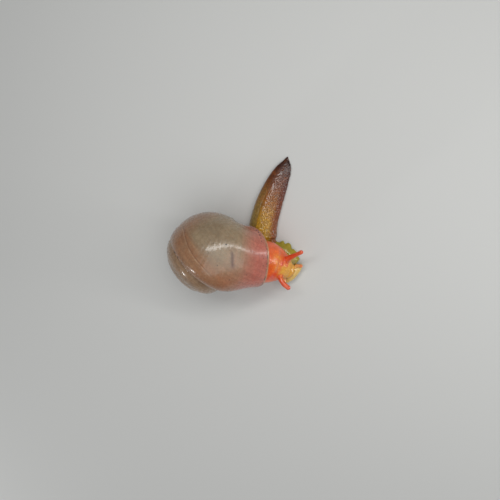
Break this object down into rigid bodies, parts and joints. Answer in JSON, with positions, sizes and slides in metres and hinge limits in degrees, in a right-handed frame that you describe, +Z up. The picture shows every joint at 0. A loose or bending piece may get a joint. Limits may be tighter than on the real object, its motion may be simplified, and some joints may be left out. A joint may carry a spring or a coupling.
{
  "type": "land snail",
  "caption": "Life-size crawling land snail with a smooth globose coiled shell, slender neck, head with feelers, frilled foot margin and long pointed tail, in one still pose.",
  "frame": {"origin": "middle of the overall box, at the floor the snail crawls on", "axes": "+Z up from the floor; +Y towards the tip of the tail; +X towards the head's side; the shell leans to -X"},
  "size_m": [0.0284, 0.0278, 0.0176],
  "materials": {
    "shell": "gloss",
    "collar": "satin",
    "skin": "gloss",
    "feeler": "gloss",
    "lobe": "satin",
    "foot": "satin",
    "tail": "satin"
  },
  "bodies": {
    "root": {"shell": "shell", "mantle_collar": "collar", "neck": "skin", "head": "skin", "mouth_lobe": "lobe", "tentacle_upper_left": "feeler", "tentacle_upper_right": "feeler", "tentacle_lower_left": "feeler", "tentacle_lower_right": "feeler", "foot_front": "foot", "foot_middle": "foot", "tail_base": "tail", "tail_tip": "tail"}
  },
  "joints": []
}
